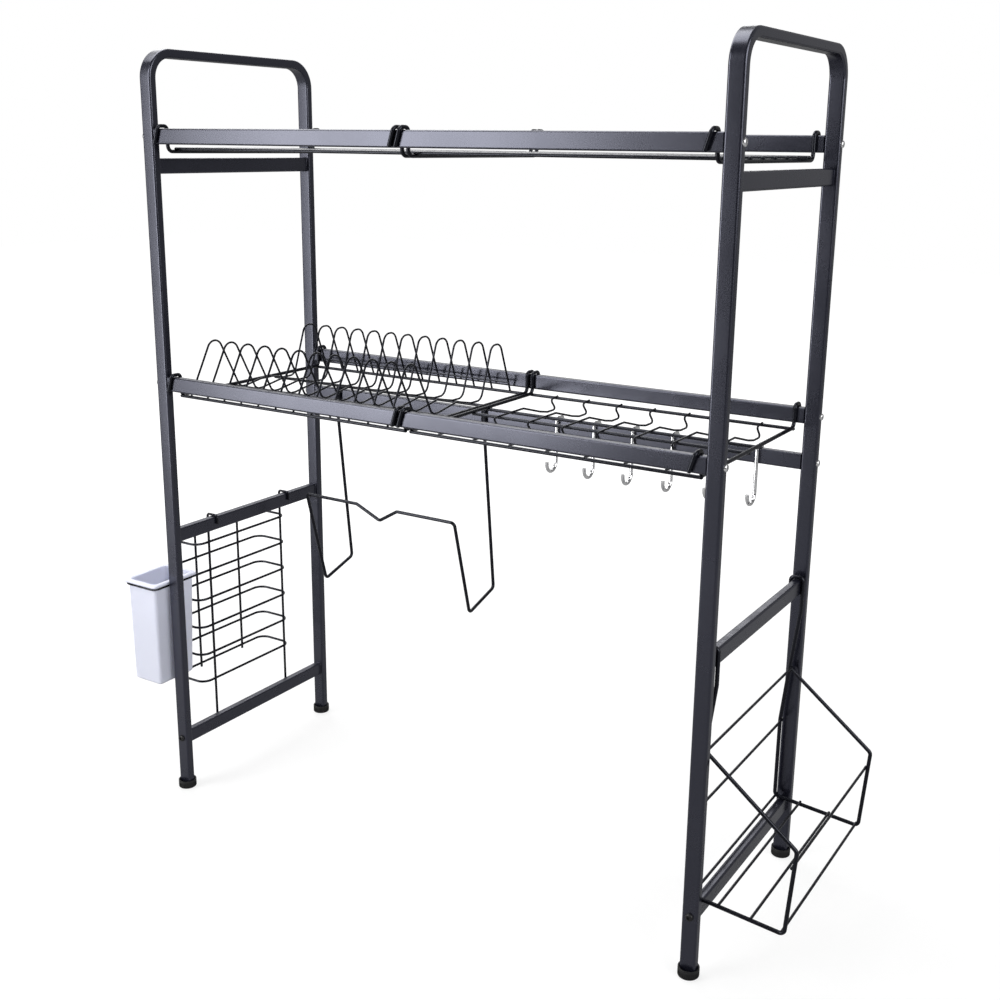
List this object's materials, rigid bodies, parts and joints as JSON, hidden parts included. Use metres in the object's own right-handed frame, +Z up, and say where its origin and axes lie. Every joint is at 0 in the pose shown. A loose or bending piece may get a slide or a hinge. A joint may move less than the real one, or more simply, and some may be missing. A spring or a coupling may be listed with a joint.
{
  "type": "over sink dish rack",
  "caption": "Over sink dish rack: tube hoops joined by rails, with wire shelves, a plate rack, a bowl rack, a board holder, hooks, a cutlery basket with a cup and a side basket.",
  "frame": {"origin": "middle of the whole object's footprint, baskets included, on the surface that the feet stand on", "axes": "+Z up; the front, where plates go in, faces -Y; +X to the right seen from the front, towards the side basket"},
  "size_m": [0.7952, 0.2844, 0.833],
  "materials": {
    "powder_black": "black powder coat, satin with a fine grain, on steel tube",
    "wire_black": "black dip coat, satin, on steel wire",
    "foot_black": "matte black moulded plastic",
    "bright_steel": "bright plated steel",
    "cup_white": "satin white moulded plastic"
  },
  "bodies": {
    "frame": {"left_hoop": "powder_black", "left_upper_crossbar": "powder_black", "left_middle_crossbar": "powder_black", "left_lower_crossbar": "powder_black", "right_hoop": "powder_black", "right_upper_crossbar": "powder_black", "right_middle_crossbar": "powder_black", "right_lower_crossbar": "powder_black", "front_upper_rail": "powder_black", "front_lower_rail": "powder_black", "rear_upper_rail": "powder_black", "rear_lower_rail": "powder_black", "hook_rail": "powder_black", "front_left_upper_screw": "bright_steel", "front_left_lower_screw": "bright_steel", "rear_left_upper_screw": "bright_steel", "rear_left_lower_screw": "bright_steel", "left_hook_rail_screw": "bright_steel", "front_right_upper_screw": "bright_steel", "front_right_lower_screw": "bright_steel", "rear_right_upper_screw": "bright_steel", "rear_right_lower_screw": "bright_steel", "right_hook_rail_screw": "bright_steel", "front_left_bolt": "foot_black", "rear_left_bolt": "foot_black", "front_right_bolt": "foot_black", "rear_right_bolt": "foot_black"},
    "front_left_foot": {"front_left_foot": "foot_black"},
    "rear_left_foot": {"rear_left_foot": "foot_black"},
    "front_right_foot": {"front_right_foot": "foot_black"},
    "rear_right_foot": {"rear_right_foot": "foot_black"},
    "left_shelf": {"left_shelf": "wire_black"},
    "right_shelf": {"right_shelf": "wire_black"},
    "plate_rack": {"plate_rack": "wire_black"},
    "bowl_rack": {"bowl_rack": "wire_black"},
    "board_holder": {"board_holder": "wire_black"},
    "cutlery_basket": {"cutlery_basket": "wire_black"},
    "side_basket": {"side_basket": "wire_black"},
    "utensil_cup": {"utensil_cup": "cup_white"},
    "hook_1": {"hook_1": "bright_steel"},
    "hook_2": {"hook_2": "bright_steel"},
    "hook_3": {"hook_3": "bright_steel"},
    "hook_4": {"hook_4": "bright_steel"},
    "hook_5": {"hook_5": "bright_steel"},
    "hook_6": {"hook_6": "bright_steel"}
  },
  "joints": [
    {"name": "front_left_foot_turn", "type": "hinge", "parent": "frame", "child": "front_left_foot", "pos_m": [-0.3368, -0.1178, 0], "axis": [0, 0, 1], "range_deg": [0, 1080]},
    {"name": "rear_left_foot_turn", "type": "hinge", "parent": "frame", "child": "rear_left_foot", "pos_m": [-0.3368, 0.1258, 0], "axis": [0, 0, 1], "range_deg": [0, 1080]},
    {"name": "front_right_foot_turn", "type": "hinge", "parent": "frame", "child": "front_right_foot", "pos_m": [0.3076, -0.1178, 0], "axis": [0, 0, 1], "range_deg": [0, 1080]},
    {"name": "rear_right_foot_turn", "type": "hinge", "parent": "frame", "child": "rear_right_foot", "pos_m": [0.3076, 0.1258, 0], "axis": [0, 0, 1], "range_deg": [0, 1080]},
    {"name": "left_shelf_lift", "type": "slide", "parent": "frame", "child": "left_shelf", "axis": [0, 0, 1], "range_m": [0, 0.04]},
    {"name": "right_shelf_lift", "type": "slide", "parent": "frame", "child": "right_shelf", "axis": [0, 0, 1], "range_m": [0, 0.04]},
    {"name": "plate_rack_lift", "type": "slide", "parent": "frame", "child": "plate_rack", "axis": [0, 0, 1], "range_m": [0, 0.04]},
    {"name": "bowl_rack_lift", "type": "slide", "parent": "frame", "child": "bowl_rack", "axis": [0, 0, 1], "range_m": [0, 0.04]},
    {"name": "board_holder_lift", "type": "slide", "parent": "frame", "child": "board_holder", "axis": [0, 0, 1], "range_m": [0, 0.0145]},
    {"name": "cutlery_basket_lift", "type": "slide", "parent": "frame", "child": "cutlery_basket", "axis": [0, 0, 1], "range_m": [0, 0.03]},
    {"name": "utensil_cup_lift", "type": "slide", "parent": "cutlery_basket", "child": "utensil_cup", "axis": [0, 0, 1], "range_m": [0, 0.12]},
    {"name": "side_basket_lift", "type": "slide", "parent": "frame", "child": "side_basket", "axis": [0, 0, 1], "range_m": [0, 0.016]},
    {"name": "hook_1_slide", "type": "slide", "parent": "frame", "child": "hook_1", "axis": [1, 0, 0], "range_m": [-0.02, 0.02]},
    {"name": "hook_2_slide", "type": "slide", "parent": "frame", "child": "hook_2", "axis": [1, 0, 0], "range_m": [-0.02, 0.02]},
    {"name": "hook_3_slide", "type": "slide", "parent": "frame", "child": "hook_3", "axis": [1, 0, 0], "range_m": [-0.02, 0.02]},
    {"name": "hook_4_slide", "type": "slide", "parent": "frame", "child": "hook_4", "axis": [1, 0, 0], "range_m": [-0.02, 0.02]},
    {"name": "hook_5_slide", "type": "slide", "parent": "frame", "child": "hook_5", "axis": [1, 0, 0], "range_m": [-0.02, 0.02]},
    {"name": "hook_6_slide", "type": "slide", "parent": "frame", "child": "hook_6", "axis": [1, 0, 0], "range_m": [-0.02, 0.02]}
  ]
}
